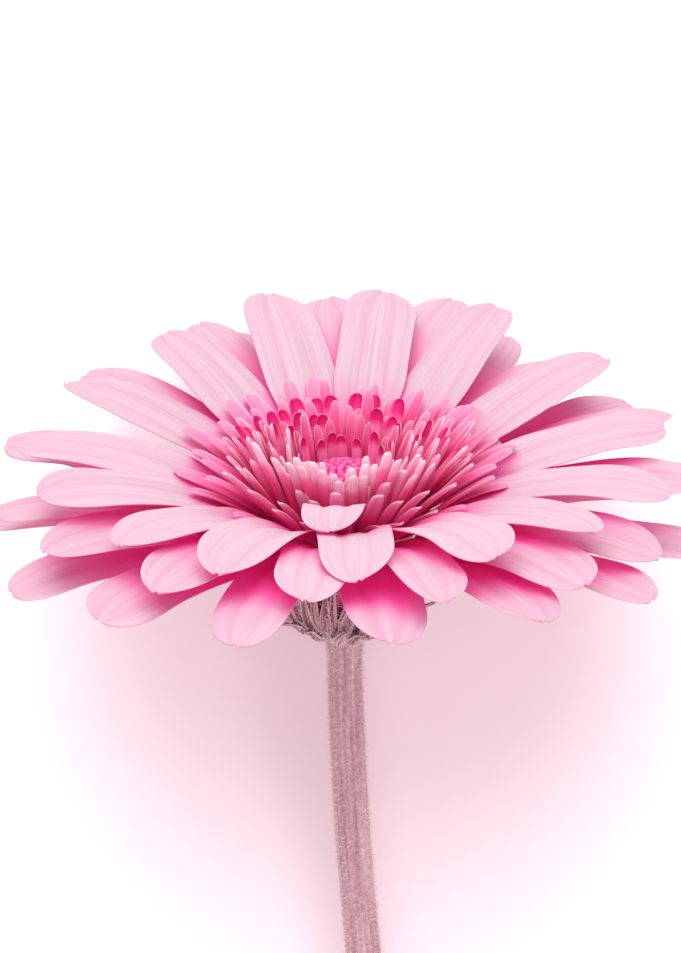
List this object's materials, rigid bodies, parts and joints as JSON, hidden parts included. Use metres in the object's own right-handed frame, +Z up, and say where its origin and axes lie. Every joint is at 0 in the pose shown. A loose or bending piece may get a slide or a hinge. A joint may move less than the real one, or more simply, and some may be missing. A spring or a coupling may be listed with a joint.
{
  "type": "cut gerbera",
  "caption": "Cut gerbera flower lying on a surface: head of layered pink ray florets around a fringed disc, a hairy dusty-mauve cup under it and a bare curved stem.",
  "frame": {"origin": "on the surface the flower lies on, at the middle of its outline seen from above", "axes": "+Z up from the surface, +Y from the head towards the cut end of the stem, +X to the right of a person who looks at the flower's face"},
  "size_m": [0.1134, 0.2338, 0.0969],
  "materials": {
    "ray_florets": "soft satin, thin and slightly translucent petal",
    "short_florets": "soft satin petal, pale at the tip",
    "disc_florets": "soft satin petal, white at the tip",
    "disc_buds": "smooth waxy bud",
    "receptacle": "matte plant flesh",
    "bracts": "matte, ribbed and hairy",
    "stem": "matte, covered in fine short hairs"
  },
  "bodies": {
    "root": {"ray_outer_01": "ray_florets", "ray_outer_02": "ray_florets", "ray_outer_03": "ray_florets", "ray_outer_04": "ray_florets", "ray_outer_05": "ray_florets", "ray_outer_06": "ray_florets", "ray_outer_07": "ray_florets", "ray_outer_08": "ray_florets", "ray_outer_09": "ray_florets", "ray_outer_10": "ray_florets", "ray_outer_11": "ray_florets", "ray_outer_12": "ray_florets", "ray_outer_13": "ray_florets", "ray_outer_14": "ray_florets", "ray_outer_15": "ray_florets", "ray_middle_01": "ray_florets", "ray_middle_02": "ray_florets", "ray_middle_03": "ray_florets", "ray_middle_04": "ray_florets", "ray_middle_05": "ray_florets", "ray_middle_06": "ray_florets", "ray_middle_07": "ray_florets", "ray_middle_08": "ray_florets", "ray_middle_09": "ray_florets", "ray_middle_10": "ray_florets", "ray_middle_11": "ray_florets", "ray_middle_12": "ray_florets", "ray_middle_13": "ray_florets", "ray_middle_14": "ray_florets", "ray_middle_15": "ray_florets", "ray_inner_01": "ray_florets", "ray_inner_02": "ray_florets", "ray_inner_03": "ray_florets", "ray_inner_04": "ray_florets", "ray_inner_05": "ray_florets", "ray_inner_06": "ray_florets", "ray_inner_07": "ray_florets", "ray_inner_08": "ray_florets", "ray_inner_09": "ray_florets", "ray_inner_10": "ray_florets", "ray_inner_11": "ray_florets", "ray_inner_12": "ray_florets", "ray_inner_13": "ray_florets", "ray_inner_14": "ray_florets", "ray_inner_15": "ray_florets", "ray_small": "ray_florets", "receptacle": "receptacle", "bracts_upper": "bracts", "bracts_lower": "bracts", "ray_short": "short_florets", "disc_outer": "disc_florets", "disc_middle": "disc_florets", "disc_inner": "disc_florets", "disc_buds": "disc_buds", "stem": "stem"}
  },
  "joints": []
}
